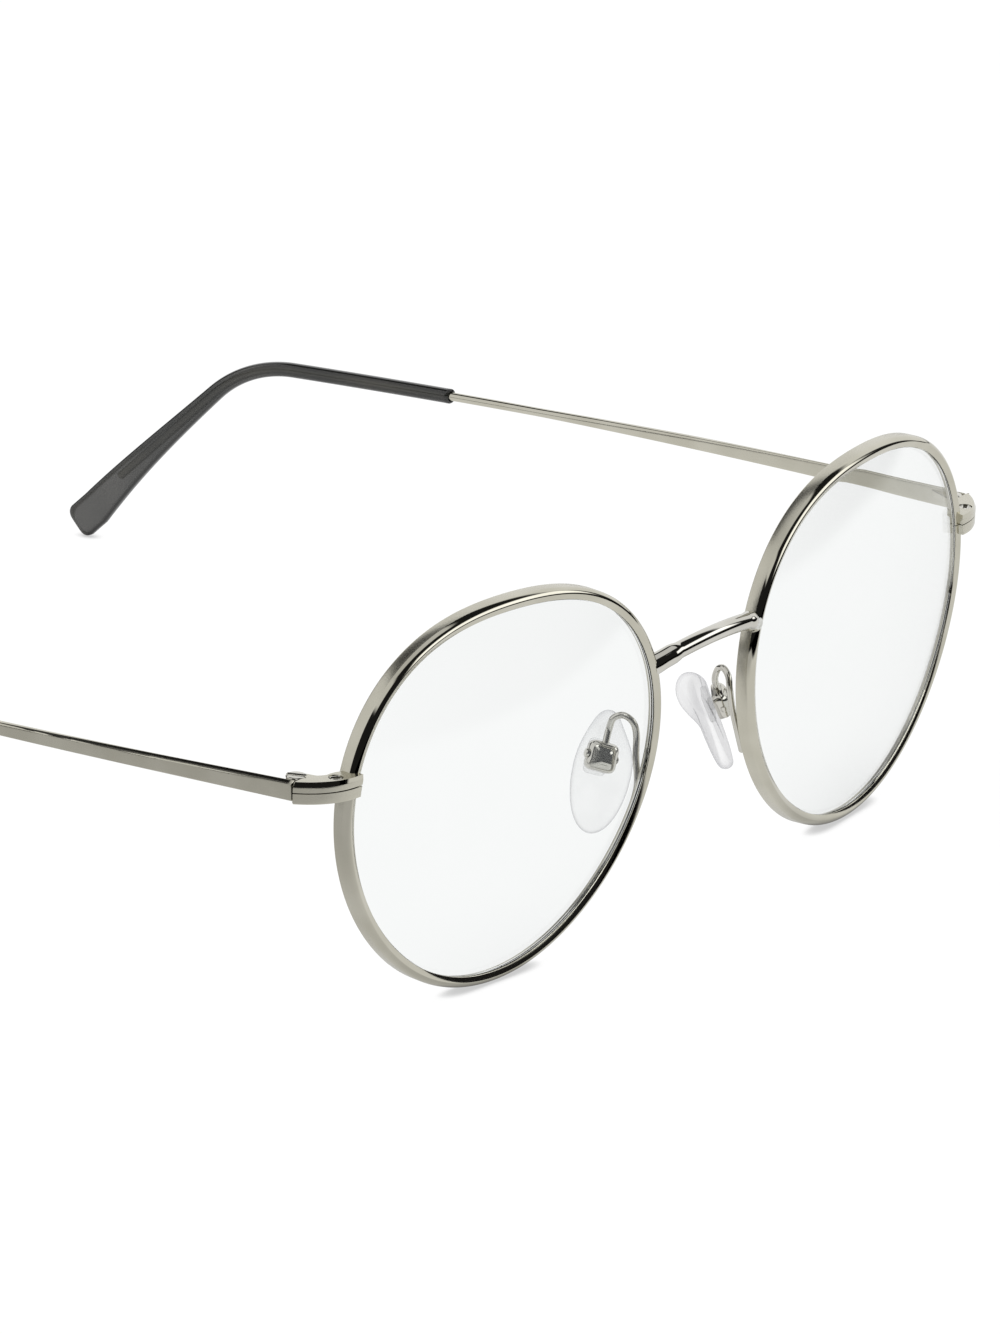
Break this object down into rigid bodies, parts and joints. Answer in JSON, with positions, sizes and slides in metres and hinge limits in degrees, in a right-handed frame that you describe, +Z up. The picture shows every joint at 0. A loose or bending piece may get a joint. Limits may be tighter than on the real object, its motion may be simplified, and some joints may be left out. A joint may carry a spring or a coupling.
{
  "type": "round eyeglasses",
  "caption": "Round metal eyeglasses with clear lenses in grooved rims, an arched bridge, screwed end pieces, folding temples with smoked tips and clear rocking nose pads.",
  "frame": {"origin": "under the middle of the whole, on the surface that it stands on, temples open", "axes": "+Z up, +Y from the front back along the temples, +X to the wearer's left"},
  "size_m": [0.1382, 0.1476, 0.0471],
  "materials": {
    "nickel": "satin nickel alloy",
    "steel": "polished",
    "lens": "clear lens resin",
    "silicone": "clear silicone",
    "insert": "clear hard plastic",
    "smoked": "smoky translucent acetate"
  },
  "bodies": {
    "front": {"bridge": "steel", "left_rim": "nickel", "left_lens": "lens", "left_endpiece_upper": "nickel", "left_endpiece_lower": "nickel", "left_rim_lock_screw": "steel", "left_hinge_screw": "steel", "left_pad_box": "steel", "left_pad_screw": "steel", "left_pad_arm": "steel", "right_rim": "nickel", "right_lens": "lens", "right_endpiece_upper": "nickel", "right_endpiece_lower": "nickel", "right_rim_lock_screw": "steel", "right_hinge_screw": "steel", "right_pad_box": "steel", "right_pad_screw": "steel", "right_pad_arm": "steel"},
    "left_temple": {"left_temple": "nickel", "left_temple_hinge_leaf": "nickel", "left_temple_tip": "smoked"},
    "left_pad": {"left_nose_pad": "silicone", "left_pad_insert": "insert"},
    "right_temple": {"right_temple": "nickel", "right_temple_hinge_leaf": "nickel", "right_temple_tip": "smoked"},
    "right_pad": {"right_nose_pad": "silicone", "right_pad_insert": "insert"}
  },
  "joints": [
    {"name": "left_temple_fold", "type": "hinge", "parent": "front", "child": "left_temple", "pos_m": [0.0653, -0.06191, 0.03094], "axis": [0, -0.0355, 0.9994], "range_deg": [0, 89]},
    {"name": "right_temple_fold", "type": "hinge", "parent": "front", "child": "right_temple", "pos_m": [-0.0653, -0.06191, 0.03094], "axis": [0, 0.0355, -0.9994], "range_deg": [0, 86]},
    {"name": "left_pad_rock", "type": "hinge", "parent": "front", "child": "left_pad", "pos_m": [0.01205, -0.06578, 0.02049], "axis": [0.7267, 0.6075, 0.3208], "range_deg": [-8, 8]},
    {"name": "right_pad_rock", "type": "hinge", "parent": "front", "child": "right_pad", "pos_m": [-0.01205, -0.06578, 0.02049], "axis": [0.7267, -0.6075, -0.3208], "range_deg": [-8, 8]}
  ]
}
